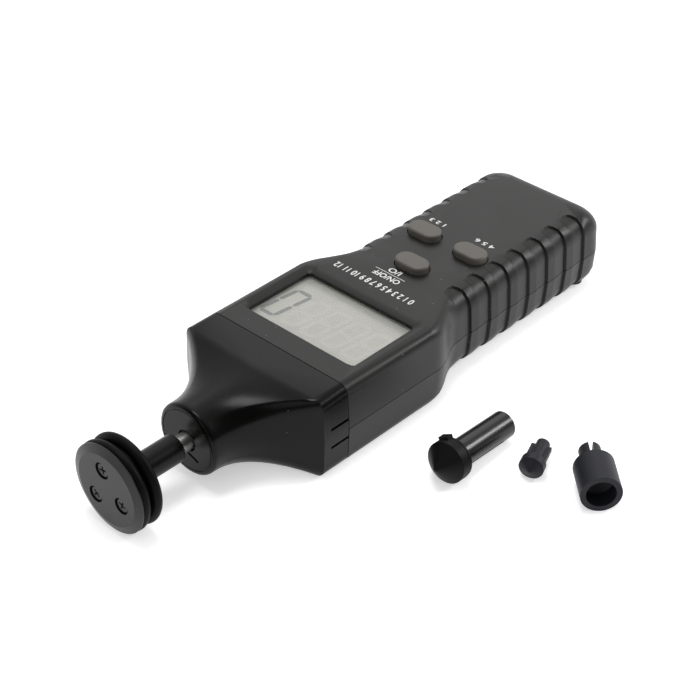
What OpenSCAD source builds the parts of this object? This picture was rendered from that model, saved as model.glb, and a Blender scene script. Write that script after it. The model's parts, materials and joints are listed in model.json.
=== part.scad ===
// Hand-held contact tachometer, lying on its back beside its three spare contact tips.
// X runs along the spindle towards the contact wheel, Z up through the display.
// The origin is on the flat back, on the centreline, under the middle of the display.

/* [Housing] */
// From the front seam back to the middle of the display, where the origin lies
display_setback = 24.5; // [22:0.5:27]
// Length of the two housing shells behind the front seam
body_l = 142.2; // [136:0.2:150]
// Thickness of the housing
body_t = 31; // [30:0.5:34]
// Height of the parting line between the two shells
split_z = 14.5; // [13:0.5:15]
// Width of the head that holds the display
head_w = 64; // [62:1:70]
// Length of the head along its sides, up to the waist
head_l = 43.5; // [42:0.5:46]
// Width of the handle
handle_w = 52.4; // [51:0.5:56]
// Length of the waist from the head's sides to the handle's
waist_l = 16; // [13:0.5:18]
// Distance from the seam at which the top and back faces start to narrow
neck_start = 41; // [40:0.5:44]
// Length over which the top and back faces narrow
neck_l = 20; // [16:0.5:20]
// Rounding of the head's long edges
head_edge_r = 4; // [3:0.25:5]
// Rounding of the handle's long edges, as a share of its width
handle_edge_share = 0.1527; // [0.12:0.0001:0.17]
// Corner radius of the handle's rear end, seen from above
rear_corner_r = 7; // [4:0.5:9]
// Lean of each side from the parting line to the edge rounding
side_draft = 0.5; // [0.2:0.1:0.8]
// Wall of the shells
wall = 2.5; // [2:0.1:2.8]
// Shadow gap between the shells
seam_gap = 0.24; // [0.1:0.02:0.4]
// Depth of the shadow gap
seam_depth = 1.1; // [0.9:0.1:1.3]

/* [Grip] */
// Number of finger pockets along each side
grip_count = 7; // [5:1:7]
// Length of one pocket, as a share of the pockets' spacing
grip_share = 0.626; // [0.5:0.002:0.66]
// Depth of a pocket at its rear step
grip_depth = 0.75; // [0.4:0.05:0.9]
// Distance from the seam to the first pocket's rear step
grip_start = 67; // [67:0.5:69]
// Distance from the last pocket's rear step to the rear end
grip_end = 11.9; // [11:0.1:14]

/* [Display] */
// Length of the display opening, along the body
display_l = 30.2; // [28:0.2:32]
// Width of the head's frame at each side of the display opening
display_side = 7.8; // [7:0.1:9]
// Bevel of the opening at its sides and rear
display_bevel = 2.6; // [1.5:0.1:2.8]
// Bevel of the opening at its front edge
display_front_bevel = 0.7; // [0.4:0.1:1]
// Corner radius of the opening
display_corner_r = 1.6; // [1:0.1:2.5]
// Thickness of the clear window
window_t = 1; // [0.8:0.1:1.5]
// Thickness of the liquid crystal panel
lcd_t = 2.8; // [2:0.1:3]
// How far the window and panel reach past the opening
display_margin = 2; // [1.5:0.1:2.2]

/* [Buttons] */
// Length of a button, across the body, as a share of the handle's width
button_share = 0.2538; // [0.23:0.0001:0.27]
// Width of a button
button_w = 8; // [7:0.1:9]
// Height that a button stands above the top face
button_stand = 2.5; // [1.5:0.1:3]
// Travel of a button
button_travel = 0.8; // [0.4:0.1:0.8]
// Clearance around a button
button_gap = 0.35; // [0.2:0.05:0.5]
// Distance from the seam to the front button, as a share of the housing's length
front_button_share = 0.4606; // [0.45:0.0001:0.47]
// Distance from the seam to the rear pair of buttons, as a share of the housing's length
rear_button_share = 0.5914; // [0.58:0.0001:0.61]
// Distance of each rear button from the centreline, as a share of the handle's width
rear_button_side_share = 0.2004; // [0.19:0.0001:0.21]

/* [Batteries] */
// Distance from the seam to the front of the battery bay
bay_front = 32.3; // [32:0.1:34]
// Distance from each side of the handle to the battery bay, whose width sets the cells'
bay_side = 11.3; // [11.3:0.1:12]
// Thickness of the battery door
door_t = 2.2; // [2:0.1:2.3]
// Overlap of the door's visible face over the bay at each side
door_over = 0.9; // [0.8:0.1:1]

/* [Nose adapter] */
// Length of the straight band behind the flare
band_l = 11.4; // [9:0.2:14]
// Length of the adapter from the seam to its round nose face
adapter_l = 40.9; // [39:0.1:44]
// Radius of the round nose
nose_r = 12.9; // [12:0.1:14]
// Height of the spindle axis above the back
spindle_z = 16.1; // [15.8:0.1:16.6]
// Wall of the adapter
adapter_wall = 2.2; // [1.8:0.1:2.4]
// How sharply the flare curves in behind the nose
flare_power = 2.2; // [1.6:0.1:3]
// Length of the latch slots in the band's sides
latch_l = 8.3; // [6:0.1:10]
// Distance between the two latch slots of one side
latch_spacing = 7.2; // [6:0.1:9]

/* [Spindle and wheel] */
// Radius of the spindle in its bearings
journal_r = 3; // [2.8:0.05:3.1]
// Radius of the spindle in front of its bearings
spindle_r = 3.2; // [3.15:0.05:3.4]
// Radius of each ball bearing
bearing_r = 6.5; // [6.3:0.1:7]
// Width of each ball bearing
bearing_w = 5; // [4:0.1:5.5]
// Balls in each bearing
ball_count = 8; // [6:1:9]
// Radius of the wheel over its rubber rings
wheel_r = 15.9; // [15.5:0.1:15.9]
// Radius of the wheel's sleeve
sleeve_r = 4.9; // [4.5:0.1:5.5]
// Gap on the spindle between the nose face and the wheel's sleeve
sleeve_gap = 4.6; // [3:0.1:6]
// Length of the sleeve behind the wheel
sleeve_l = 18.9; // [14:0.1:20]
// Length of the rimmed part of the wheel behind its front plate
rim_l = 8.3; // [8:0.1:10]
// Thickness of the front plate
plate_t = 1.4; // [1.2:0.1:2]
// Radius of the section of the rubber rings
ring_r = 1.7; // [1.6:0.05:1.9]
// Radius on which the three wheel screws lie
wheel_screw_pcr = 7.1; // [6.5:0.1:8]

/* [Spare tips] */
// Radius of the extension shaft
extension_r = 4.8; // [4.5:0.1:5.2]
// Length of the extension shaft behind its tip
extension_l = 25.9; // [22:0.1:30]
// Radius of the large cone tip
cone_r = 7.3; // [6.5:0.1:8]
// Length of the large tip's cone
cone_l = 5.9; // [4:0.1:7]
// Length of the straight band behind the cone
cone_band_l = 3.4; // [2:0.1:5]
// Radius of the small cone tip
small_cone_r = 4.2; // [4:0.1:5]
// Length of the small tip's cone
small_cone_l = 2.5; // [2:0.1:4]
// Outer radius of the cup tip
cup_r = 6.8; // [6:0.1:7.5]
// Length of the cup tip without its stem
cup_l = 14.8; // [11:0.1:16]
// Radius of the cup's mouth
cup_bore_r = 4.9; // [4.5:0.1:5.2]
// Depth of the cup's straight bore
cup_depth = 6; // [5:0.1:8]
// Radius of the large tip's stem over its lugs, which plugs into the extension
stem_r = 3.6; // [3.2:0.1:4]

/* [Hidden] */

$fn = 64;

// One overrun serves every cut, and one play every seat that does not move
overrun = 1;
seat_play = 0.05;
running_play = 0.05;

shell_colour = [0.13, 0.13, 0.13];
adapter_colour = [0.07, 0.07, 0.07];
rubber_colour = [0.16, 0.16, 0.17];
metal_colour = [0.72, 0.72, 0.74];

// Helpers

function clamp_share(u) = min(1, max(0, u));

function mix(a, b, u) = a + (b - a) * u;

function smooth(u) = let (v = clamp_share(u)) v * v * (3 - 2 * v);

// How far a rounded end of radius r is drawn in, a distance d from where it starts
function drawn_in(d, r) = d >= r ? 0 : r - sqrt(max(0, r * r - (r - d) * (r - d)));

// Solid through closed rings that have the same number of points, each end closed by a fan.
// Seen from the first ring, the points of every ring run anticlockwise.
module loft(rings) {
    n = len(rings[0]);
    m = len(rings);
    sides = [
        for (j = [0:m - 2], i = [0:n - 1], half = [0, 1])
            let (a = j * n + i, b = j * n + (i + 1) % n)
                half == 0 ? [a, b, b + n] : [a, b + n, a + n]
    ];
    ones = [for (p = rings[0]) 1 / n];
    fans = [
        for (i = [0:n - 1]) each [
            [m * n, (i + 1) % n, i],
            [m * n + 1, (m - 1) * n + i, (m - 1) * n + (i + 1) % n]
        ]
    ];
    middles = [ones * rings[0], ones * rings[m - 1]];
    polyhedron(concat([for (ring = rings) each ring], middles), concat(sides, fans), convexity = 8);
}

// Places what stands on +Z so that it lies along the spindle, x from the seam
module along_spindle(x = 0) {
    translate([x, 0, spindle_z]) rotate([0, 90, 0]) children();
}

module ring_solid(outer, inner, length) {
    difference() {
        cylinder(r = outer, h = length);
        translate([0, 0, -overrun]) cylinder(r = inner, h = length + 2 * overrun);
    }
}

// Slot-shaped outline with round ends, long across the body
module stadium(long, wide) {
    square([wide, long - wide], center = true);
    for (side = [-1, 1]) translate([0, side * (long - wide) / 2]) circle(d = wide);
}

module mirror_copy() {
    children();
    mirror([0, 1, 0]) children();
}

// Sizes that follow the housing's

handle_edge_r = handle_w * handle_edge_share;
grip_pitch = (body_l - grip_start - grip_end) / (grip_count - 1);
grip_w = grip_pitch * grip_share;
display_w = head_w - 2 * display_side;
button_l = handle_w * button_share;
front_button_x = body_l * front_button_share;
rear_button_x = body_l * rear_button_share;
rear_button_y = handle_w * rear_button_side_share;

// Housing outline, in distances behind the seam

rear_flat = 0.3;
edge_steps = 6;
fade_angle = 3;
quarter_turn = 90;

function waist_share(d) = smooth((d - head_l) / waist_l);

function neck_share(d) = clamp_share((d - neck_start) / neck_l);

function side_half(d) = mix(head_w, handle_w, waist_share(d)) / 2;

function face_half(d) =
    mix(head_w / 2 - head_edge_r, handle_w / 2 - handle_edge_r, neck_share(d)) - side_draft;

function edge_height(d) = mix(head_edge_r, handle_edge_r, smooth(neck_share(d)));

// Angles at which an edge is sampled: even steps to the pocket's end, the end, the face
function edge_angles(stop, top, steps) =
    [for (i = [0:steps]) stop * i / steps * top, (stop + fade_angle) * top, quarter_turn * top];

// Section of one shell at distance d: inset is the wall taken off, pocket the depth of a
// finger pocket, stop the angle at which the pocket ends on the edge, up the shell's side
function shell_ring(d, up, inset, pocket, stop, base_z, steps) =
    let (
        to_rear = body_l + rear_flat - d - inset,
        wide = max(side_half(d) - side_draft - face_half(d) - inset, seat_play),
        high = max(edge_height(d) - inset, seat_play),
        reach = min(1, to_rear / max(high, seat_play)),
        top_share = reach >= 1 ? 1 : acos(1 - reach) / quarter_turn,
        angles = edge_angles(stop, top_share, steps),
        outline = [
            [side_half(d) - inset - drawn_in(to_rear, rear_corner_r - inset) - pocket, base_z],
            for (i = [0:len(angles) - 1])
                let (
                    a = angles[i],
                    dip = i <= steps ? pocket : 0,
                    back = high * (1 - cos(a)),
                    half = side_half(d) - inset - side_draft - wide * (1 - cos(a))
                        - drawn_in(to_rear - back, rear_corner_r - inset) - dip * cos(a),
                    depth = inset + high * (1 - sin(a)) + dip * sin(a)
                )
                    [half, up ? body_t - depth : depth]
        ],
        side = up ? 1 : -1
    )
        concat(
            [for (p = outline) [-d, side * p[0], p[1]]],
            [for (i = [len(outline) - 1:-1:0]) [-d, -side * outline[i][0], outline[i][1]]]
        );

function grip_front(k) = grip_start + k * grip_pitch - grip_w;

// Stops that round a pocket's end: the angle on the edge, for a share of the pocket's length
pocket_top_angle = 86;
pocket_fall_angle = 24;

function pocket_stop(u) = pocket_top_angle - pocket_fall_angle * (1 - sqrt(max(0, 1 - pow(2 * u - 1, 2))));

pocket_shares = [0, 0.07, 0.22, 0.5, 0.78, 0.93, 1];
step_l = 0.3;
rear_shares = [1, 0.7, 0.45, 0.25, 0.1];
neck_steps = 8;

// Stations of the outer skin, each as distance, pocket depth and pocket end
skin_stations = [
    [0, 0, pocket_top_angle],
    for (i = [0:neck_steps]) [mix(neck_start, grip_front(0) - step_l, i / neck_steps), 0, pocket_stop(0)],
    for (k = [0:grip_count - 1]) each [
        for (u = pocket_shares) [grip_front(k) + grip_w * u, grip_depth * u, pocket_stop(u)],
        [grip_front(k) + grip_w + step_l, 0, pocket_stop(1)]
    ],
    for (u = rear_shares) [body_l - handle_edge_r * u, 0, pocket_top_angle],
    [body_l, 0, pocket_top_angle]
];

inner_steps = 3;

// Stations of the hollow, from the back of the front wall to the rear wall
function hollow_stations(front) = [
    front,
    for (i = [0:2:neck_steps]) mix(neck_start, grip_front(0), i / neck_steps),
    body_l + rear_flat - handle_edge_r - rear_corner_r + wall,
    for (u = rear_shares) body_l - wall - (handle_edge_r - wall) * u,
    body_l - wall
];

module skin(up) {
    base = split_z + (up ? 1 : -1) * seam_gap / 2;
    loft([for (s = skin_stations) shell_ring(s[0], up, 0, s[1], s[2], base, edge_steps)]);
}

module hollow(up) {
    base = split_z - (up ? 1 : -1) * overrun;
    loft([
        for (d = hollow_stations(front_wall_x + front_wall_t))
            shell_ring(d, up, wall, 0, pocket_top_angle, base, inner_steps)
    ]);
}

// The mouth behind the seam takes the adapter's spigot, up to the front wall
mouth_l = 4;
front_wall_x = mouth_l;
front_wall_t = 2;

module mouth(up) {
    base = split_z - (up ? 1 : -1) * overrun;
    loft([
        for (d = [-overrun, front_wall_x])
            [for (p = shell_ring(0, up, wall, 0, pocket_top_angle, base, inner_steps)) [-d, p[1], p[2]]]
    ]);
}

// Plan outline of the shells at the parting line, drawn in by inset
function plan_half(inset) = [
    [-mouth_l, side_half(0) - inset],
    for (i = [0:neck_steps])
        let (d = mix(head_l, head_l + waist_l, i / neck_steps)) [-d, side_half(d) - inset],
    for (u = [1, 0.4, 0.1, 0])
        let (d = body_l - inset - (rear_corner_r - inset) * u)
            [-d, handle_w / 2 - inset - drawn_in(body_l - inset - d, rear_corner_r - inset)]
];

module plan(inset) {
    half = plan_half(inset);
    last = len(half) - 1;
    polygon(concat(half, [for (i = [last:-1:0]) [half[i][0], -half[i][1]]]));
}

// The lower shell's lip, which closes the shadow gap from inside
module seam_lip() {
    translate([0, 0, split_z - seam_gap / 2])
        linear_extrude(seam_gap)
            difference() {
                plan(seam_depth);
                plan(wall);
                translate([-front_wall_x - front_wall_t, 0])
                    square([2 * front_wall_t, head_w], center = true);
            }
}

// Display opening: straight below, bevelled to the top face at the sides and the rear

display_bevel_t = 1.1;
corner_steps = 4;

function corner(cx, cy, r, a0) =
    [for (i = [0:corner_steps]) let (a = a0 + quarter_turn * i / corner_steps) [cx + r * cos(a), cy + r * sin(a)]];

// Rounded rectangle from x0 to x1 across a width w
function frame_ring(x0, x1, w, r, z) = [
    for (p = concat(
        corner(x1 - r, w / 2 - r, r, 0), corner(x0 + r, w / 2 - r, r, 90),
        corner(x0 + r, -w / 2 + r, r, 180), corner(x1 - r, -w / 2 + r, r, 270)
    )) [p[0], p[1], z]
];

module display_opening() {
    front = -display_setback + display_l / 2;
    rear = -display_setback - display_l / 2;
    grow = overrun / display_bevel_t;
    r = display_corner_r;
    translate([0, 0, body_t])
        loft([
            frame_ring(
                rear - display_bevel * (1 + grow), front + display_front_bevel * (1 + grow),
                display_w + 2 * display_bevel * (1 + grow), r + display_bevel * (1 + grow), overrun
            ),
            frame_ring(rear, front, display_w, r, -display_bevel_t),
            frame_ring(rear, front, display_w, r, -wall - overrun)
        ]);
}

button_places = [[front_button_x, 0], [rear_button_x, -rear_button_y], [rear_button_x, rear_button_y]];

module button_hole(place) {
    translate([-place[0], place[1], body_t - wall - overrun])
        linear_extrude(wall + 2 * overrun)
            stadium(button_l + 2 * button_gap, button_w + 2 * button_gap);
}

// Board, its height and its posts

board_t = 1.6;
board_gap = 2.4;
lcd_z = body_t - wall - window_t - lcd_t;
board_z = lcd_z - board_gap - board_t;
board_play = 1;
board_front = front_wall_x + front_wall_t + board_play;
board_edge = 5;
board_handle_edge = 6.2;
board_head_w = head_w - 2 * board_edge;
board_handle_w = handle_w - 2 * board_handle_edge;
board_step_x = display_setback + display_l / 2 + display_margin + board_play;
board_share = 0.6962;
board_rear = body_l * board_share;
post_r = 2.2;
post_in = 4;
post_share = 0.35;
post_front_x = 45.2;
post_rear_x = board_rear - post_in;
post_y = board_handle_w * post_share;
board_screw_r = 0.9;
board_screw_head_r = 1.8;
board_screw_head_t = 1.3;
board_screw_l = 6;
post_places = [for (x = [post_front_x, post_rear_x], y = [-post_y, post_y]) [-x, y]];

// Case screws, driven from the back into bosses of the upper shell

case_front_x = 46.5;
case_front_in = 6.2;
case_front_y = side_half(case_front_x) - case_front_in;
case_rear_in = 5.7;
case_rear_y = handle_w / 2 - case_rear_in;
case_end_in = 8.7;
case_rear_x = body_l - case_end_in;
case_screw_r = 1.25;
case_head_r = 2.3;
case_head_t = 1.6;
case_boss_r = 2.9;
case_play = 0.2;
case_seat_z = 5;
case_screw_l = 17;
case_places = [
    for (side = [-1, 1]) each [[-case_front_x, side * case_front_y], [-case_rear_x, side * case_rear_y]]
];

module upper_shell() {
    color(shell_colour)
        difference() {
            skin(true);
            difference() {
                hollow(true);
                for (p = post_places)
                    translate([p[0], p[1], board_z + board_t])
                        ring_solid(post_r, board_screw_r, body_t - board_z - board_t);
                for (p = case_places)
                    translate([p[0], p[1], split_z + seam_gap / 2])
                        ring_solid(case_boss_r, case_screw_r, body_t - split_z);
            }
            mouth(true);
            display_opening();
            for (place = button_places) button_hole(place);
            sensor_hole();
        }
}

// Battery bay, moulded in the lower shell

bay_play = 0.4;
bay_wall = 1.2;
bay_gap = 0.1;
contact_t = 0.4;
spring_l = 4.2;
button_nub_l = 1.3;
bay_w = handle_w - 2 * bay_side;
cell_d = bay_w / 2 - bay_play;
bay_rear_wall = 3.5;
bay_rear = body_l - bay_rear_wall;
bay_l = bay_rear - bay_front;
cell_l = (bay_l - spring_l - 2 * contact_t - bay_play) / 2 - button_nub_l;
door_w = bay_w + 2 * door_over;
cell_z = door_t + bay_play + cell_d / 2;
bay_top = cell_z + cell_d / 2 + bay_play;
rail_w = 2.6;
tongue_w = 1.4;
door_play = 0.15;
door_step = 1.1;
door_lap = 0.6;
door_front = bay_front - door_lap;

// The bay's rear wall runs into the lower shell's, and clears the upper shell's above the seam
module bay_block() {
    reach = bay_rear_wall - wall - bay_gap;
    difference() {
        union() {
            translate([-bay_rear - reach, -bay_w / 2 - bay_wall, wall / 2])
                cube([bay_l + reach + bay_wall, bay_w + 2 * bay_wall, bay_top + bay_wall - wall / 2]);
            translate([-bay_rear - wall / 2, -bay_w / 2 - bay_wall, wall / 2])
                cube([bay_l / 2, bay_w + 2 * bay_wall, split_z - seam_gap / 2 - wall / 2]);
        }
        translate([-bay_rear, -bay_w / 2, -overrun])
            cube([bay_l, bay_w, bay_top + overrun]);
    }
    mirror_copy()
        translate([-bay_rear - wall / 2, bay_w / 2, wall / 2])
            cube([bay_l + wall / 2, rail_w, 2 * wall - wall / 2]);
}

// T-shaped path of the sliding door, out through the rear end
module door_path(play, length, past) {
    narrow = door_w + 2 * play;
    broad = door_w + 2 * tongue_w + 2 * play;
    translate([-door_front - length, -narrow / 2, -past])
        cube([length + play, narrow, door_t + play + past]);
    translate([-door_front - length, -broad / 2, door_step - play])
        cube([length + play, broad, door_t - door_step + 2 * play]);
}

module lower_shell() {
    color(shell_colour)
        difference() {
            union() {
                difference() {
                    skin(false);
                    hollow(false);
                    mouth(false);
                }
                seam_lip();
                bay_block();
                for (p = case_places)
                    translate([p[0], p[1], wall / 2])
                        cylinder(r = case_boss_r, h = split_z - seam_gap / 2 - wall / 2);
            }
            translate([-bay_rear, -bay_w / 2, -overrun])
                cube([bay_l, bay_w, wall + 2 * overrun]);
            door_path(door_play, body_l, overrun);
            for (p = case_places) {
                translate([p[0], p[1], -overrun])
                    cylinder(r = case_head_r + case_play, h = case_seat_z + overrun);
                translate([p[0], p[1], 0])
                    cylinder(r = case_screw_r + running_play, h = split_z + overrun);
            }
            sensor_hole();
        }
}

door_rib_count = 6;
door_rib_pitch = 2.2;
door_rib_w = 0.9;
door_rib_t = 0.5;
door_rib_l = 18;
door_rib_x = 10;

module battery_door() {
    color(shell_colour)
        difference() {
            intersection() {
                door_path(0, body_l - door_front, 0);
                skin(false);
            }
            for (i = [0:door_rib_count - 1])
                translate([-door_front - door_rib_x - i * door_rib_pitch, 0, 0])
                    cube([door_rib_w, door_rib_l, 2 * door_rib_t], center = true);
        }
}

// Display stack

module display_plate(margin, z, thick) {
    l = display_l + 2 * margin;
    w = display_w + 2 * margin;
    translate([-display_setback - l / 2, -w / 2, z]) cube([l, w, thick]);
}

module display_window() {
    color([0.85, 0.9, 0.9, 0.4]) display_plate(display_margin, body_t - wall - window_t, window_t);
}

module lcd_panel() {
    color([0.72, 0.74, 0.69]) display_plate(lcd_margin, lcd_z, lcd_t);
}

lcd_margin = 1.3;
strip_w = 2;
strip_in = 1.2;
strip_l = display_w - 2 * strip_in;

module contact_strips() {
    color([0.5, 0.5, 0.52])
        for (end = [-1, 1])
            translate([-display_setback + end * (display_l - strip_w) / 2, 0, board_z + board_t + board_gap / 2])
                cube([strip_w, strip_l, board_gap], center = true);
}

module main_board() {
    color([0.1, 0.35, 0.2])
        difference() {
            union() {
                translate([-board_step_x, -board_head_w / 2, board_z])
                    cube([board_step_x - board_front, board_head_w, board_t]);
                translate([-board_rear, -board_handle_w / 2, board_z])
                    cube([board_rear - board_front, board_handle_w, board_t]);
            }
            for (p = post_places)
                translate([p[0], p[1], board_z - overrun])
                    cylinder(r = board_screw_r + seat_play, h = board_t + 2 * overrun);
        }
}

// Processor, crystal and capacitor, under the head end of the board
chip_w = 12;
chip_t = 1.5;
crystal_l = 8;
crystal_w = 4;
crystal_t = 2.2;
capacitor_r = 2.5;
capacitor_l = 8;
parts_x = 20;
parts_share = 0.315;
parts_y = board_head_w * parts_share;

module board_parts() {
    color([0.12, 0.12, 0.13]) {
        translate([-parts_x - chip_w / 2, -parts_y - chip_w / 2, board_z - chip_t])
            cube([chip_w, chip_w, chip_t]);
        translate([-parts_x - crystal_l / 2, parts_y - crystal_w, board_z - crystal_t])
            cube([crystal_l, crystal_w, crystal_t]);
        translate([-parts_x, parts_y + 2 * capacitor_r, board_z - capacitor_l])
            cylinder(r = capacitor_r, h = capacitor_l);
    }
}

switch_w = 6;
switch_t = 3;
plunger_r = 1.75;
flange_t = 1;
flange_w = 0.9;
flange_z = body_t - wall - seat_play - flange_t;
plunger_gap = 0.1;

module tact_switches() {
    color([0.15, 0.15, 0.16])
        for (place = button_places)
            translate([-place[0], place[1], board_z + board_t]) {
                translate([-switch_w / 2, -switch_w / 2, 0]) cube([switch_w, switch_w, switch_t]);
                cylinder(r = plunger_r, h = flange_z - button_travel - plunger_gap - board_z - board_t);
            }
}

module board_screws() {
    color(metal_colour)
        for (p = post_places)
            translate([p[0], p[1], board_z - board_screw_head_t]) {
                cylinder(r = board_screw_head_r, h = board_screw_head_t);
                cylinder(r = board_screw_r - seat_play, h = board_screw_head_t + board_screw_l - seat_play);
            }
}

// Cross recess of a screw, cut along +Z from its head's face
module cross_recess(long, wide, deep) {
    for (turn = [0, 90])
        rotate([0, 0, turn]) cube([long, wide, 2 * deep], center = true);
}

recess_share = 1.3;
recess_wide_share = 0.28;

module case_screws() {
    color(metal_colour)
        for (p = case_places)
            translate([p[0], p[1], case_seat_z - case_head_t])
                difference() {
                    union() {
                        cylinder(r = case_head_r, h = case_head_t);
                        cylinder(r = case_screw_r - seat_play, h = case_screw_l);
                    }
                    cross_recess(case_head_r * recess_share, case_head_r * recess_wide_share, case_head_t / 2);
                }
}

// Optical sensor that reads the disc on the spindle through a window in the front wall

sensor_w = 16;
sensor_h = 8.4;
sensor_board_x = 12;
sensor_board_w = 20;
sensor_board_drop = 12;
eye_r = 2.5;
eye_y = 4.2;
eye_gap = 0.5;
eye_drop = 1.5;
eye_z = spindle_z - eye_drop;

module sensor_hole() {
    translate([-front_wall_x - front_wall_t / 2, 0, eye_z])
        cube([2 * front_wall_t, sensor_w, sensor_h], center = true);
}

module sensor_window() {
    color([0.35, 0.05, 0.08, 0.7])
        translate([-front_wall_x - front_wall_t / 2, 0, eye_z])
            cube([front_wall_t, sensor_w - 2 * seat_play, sensor_h - 2 * seat_play], center = true);
}

module sensor_board() {
    color([0.1, 0.35, 0.2])
        translate([-sensor_board_x - board_t, -sensor_board_w / 2, board_z - sensor_board_drop])
            cube([board_t, sensor_board_w, sensor_board_drop]);
}

module sensor_eyes() {
    tip = sensor_board_x - front_wall_x - front_wall_t - eye_gap;
    color([0.2, 0.18, 0.22])
        for (side = [-1, 1])
            translate([-sensor_board_x, side * eye_y, eye_z])
                rotate([0, 90, 0]) {
                    cylinder(r = eye_r, h = tip - eye_r);
                    translate([0, 0, tip - eye_r]) sphere(r = eye_r);
                }
}

// Cells: two rows of two, head to tail, the rows pointing opposite ways

nub_share = 0.186;
nub_r = cell_d * nub_share;
spring_wire_r = 0.35;
spring_turns = 3;
spring_steps = 12;
spring_sides = 6;
plate_share = 0.7;
spring_small_share = 0.18;
spring_large_share = 0.317;
spring_small_r = cell_d * spring_small_share;
spring_large_r = cell_d * spring_large_share;

// A row's near end is its spring's end: the front for one row, the rear for the other
module each_row() {
    translate([-bay_front, -(cell_d + bay_play) / 2, cell_z]) rotate([0, -90, 0]) children();
    translate([-bay_rear, (cell_d + bay_play) / 2, cell_z]) rotate([0, 90, 0]) children();
}

module battery_cells() {
    color([0.55, 0.56, 0.6])
        each_row()
            for (k = [0, 1])
                translate([0, 0, contact_t + spring_l + seat_play + k * (cell_l + button_nub_l + seat_play)]) {
                    cylinder(d = cell_d, h = cell_l);
                    cylinder(r = nub_r, h = cell_l + button_nub_l);
                }
}

module battery_plates() {
    color(metal_colour) {
        plate_w = cell_d * plate_share;
        each_row()
            translate([-plate_w / 2, -plate_w / 2, 0]) cube([plate_w, plate_w, contact_t]);
        each_row()
            translate([-plate_w / 2, -plate_w / 2, bay_l - contact_t]) cube([plate_w, plate_w, contact_t]);
    }
}

// Conical contact spring, wound as one wire
module spring() {
    count = spring_turns * spring_steps;
    rise = spring_l - 2 * spring_wire_r;
    loft([
        for (i = [0:count])
            let (
                turn = 360 * i / spring_steps,
                r = mix(spring_large_r, spring_small_r, i / count),
                z = spring_wire_r + rise * i / count
            )
                [
                    for (k = [0:spring_sides - 1])
                        let (
                            a = 360 * k / spring_sides,
                            s = r + spring_wire_r * cos(a)
                        )
                            [s * cos(turn), s * sin(turn), z + spring_wire_r * sin(a)]
                ]
    ]);
}

module battery_springs() {
    color(metal_colour) each_row() translate([0, 0, contact_t]) spring();
}

// Buttons: a cap with a rounded top over a flange that holds it in the shell

button_edge_r = 0.8;

// A quarter-round edge, then the straight side: radius against height, for caps and revolves
function cap_profile(r, h, edge) = [
    [0, 0], [r, 0],
    for (a = [0:18:90]) [r - edge + edge * cos(a), h - edge + edge * sin(a)],
    [0, h]
];

module cap(long, wide, high, edge) {
    profile = cap_profile(wide / 2, high, edge);
    for (side = [-1, 1])
        translate([0, side * (long - wide) / 2, 0]) rotate_extrude() polygon(profile);
    rotate([90, 0, 0])
        linear_extrude(long - wide, center = true)
            polygon(concat(profile, [for (i = [len(profile) - 1:-1:0]) [-profile[i][0], profile[i][1]]]));
}

module button(place) {
    color([0.36, 0.34, 0.31])
        translate([-place[0], place[1], flange_z]) {
            linear_extrude(flange_t)
                stadium(button_l + 2 * flange_w, button_w + 2 * flange_w);
            cap(button_l, button_w, body_t + button_stand - flange_z, button_edge_r);
        }
}

module power_button() button(button_places[0]);

module memory_button() button(button_places[1]);

module test_button() button(button_places[2]);

// Nose adapter: the housing's own section, flared down to a round nose

flare_steps = 10;
seam_edge = 0.3;
lip_r = 1.3;
spigot_l = 3.6;
spigot_play = 0.25;
spigot_t = 1.6;
latch_slot = 1;
latch_z = split_z + latch_slot / 2;
latch_reach = wall + spigot_play + spigot_t + overrun;
nose_solid_l = 7;
hollow_end = adapter_l - nose_solid_l;
tube_rear = 12;
tube_wall = 2;
tube_bore_r = bearing_r + seat_play / 2;
nose_hole_r = 3.9;
nose_wall = 2;
rib_t = 1.6;
face_groove_r = 10.9;
face_groove = 0.3;
face_slot_w = 1;
face_slot_t = 0.8;
face_slot_in = 4.6;
face_slot_l = 5.2;
face_slot_angle = 71;

rect_steps = 6;
top_steps = 4;

// One quarter of the section, as [across, up] from the middle
function rect_quarter(a, b, r, lean) = concat(
    [[a, 0], [a - lean / 2, (b - r) / 2]],
    [for (i = [0:rect_steps]) let (t = quarter_turn * i / rect_steps) [a - lean - r + r * cos(t), b - r + r * sin(t)]],
    [for (i = [1:top_steps]) [(a - lean - r) * (1 - i / top_steps), b]]
);

// Angles on the round nose that the same points run to
arc_first_angle = 24;
arc_last_angle = 54;
arc_angles = concat(
    [0, arc_first_angle / 2],
    [for (i = [0:rect_steps]) mix(arc_first_angle, arc_last_angle, i / rect_steps)],
    [for (i = [1:top_steps]) mix(arc_last_angle, quarter_turn, i / top_steps)]
);

function quarter_ring(q) =
    let (n = len(q) - 1)
        concat(
            [for (i = [0:n - 1]) q[i]],
            [for (i = [n:-1:1]) [-q[i][0], q[i][1]]],
            [for (i = [0:n - 1]) [-q[i][0], -q[i][1]]],
            [for (i = [n:-1:1]) [q[i][0], -q[i][1]]]
        );

// Section of the adapter at x, drawn in by inset, share being how far it has turned round
function adapter_ring(x, inset, share, round_r) =
    let (
        box = rect_quarter(
            head_w / 2 - inset, body_t / 2 - inset, max(head_edge_r - inset, inset / 2), side_draft
        ),
        middle = mix(body_t / 2, spindle_z, share),
        q = [
            for (i = [0:len(box) - 1])
                [
                    mix(box[i][0], (round_r - inset) * cos(arc_angles[i]), share),
                    mix(box[i][1], (round_r - inset) * sin(arc_angles[i]), share)
                ]
        ]
    )
        [for (p = quarter_ring(q)) [x, -p[0], middle + p[1]]];

function flare_share(u) = 1 - pow(1 - u, flare_power);

flare_end = adapter_l - 2 * lip_r;

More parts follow.
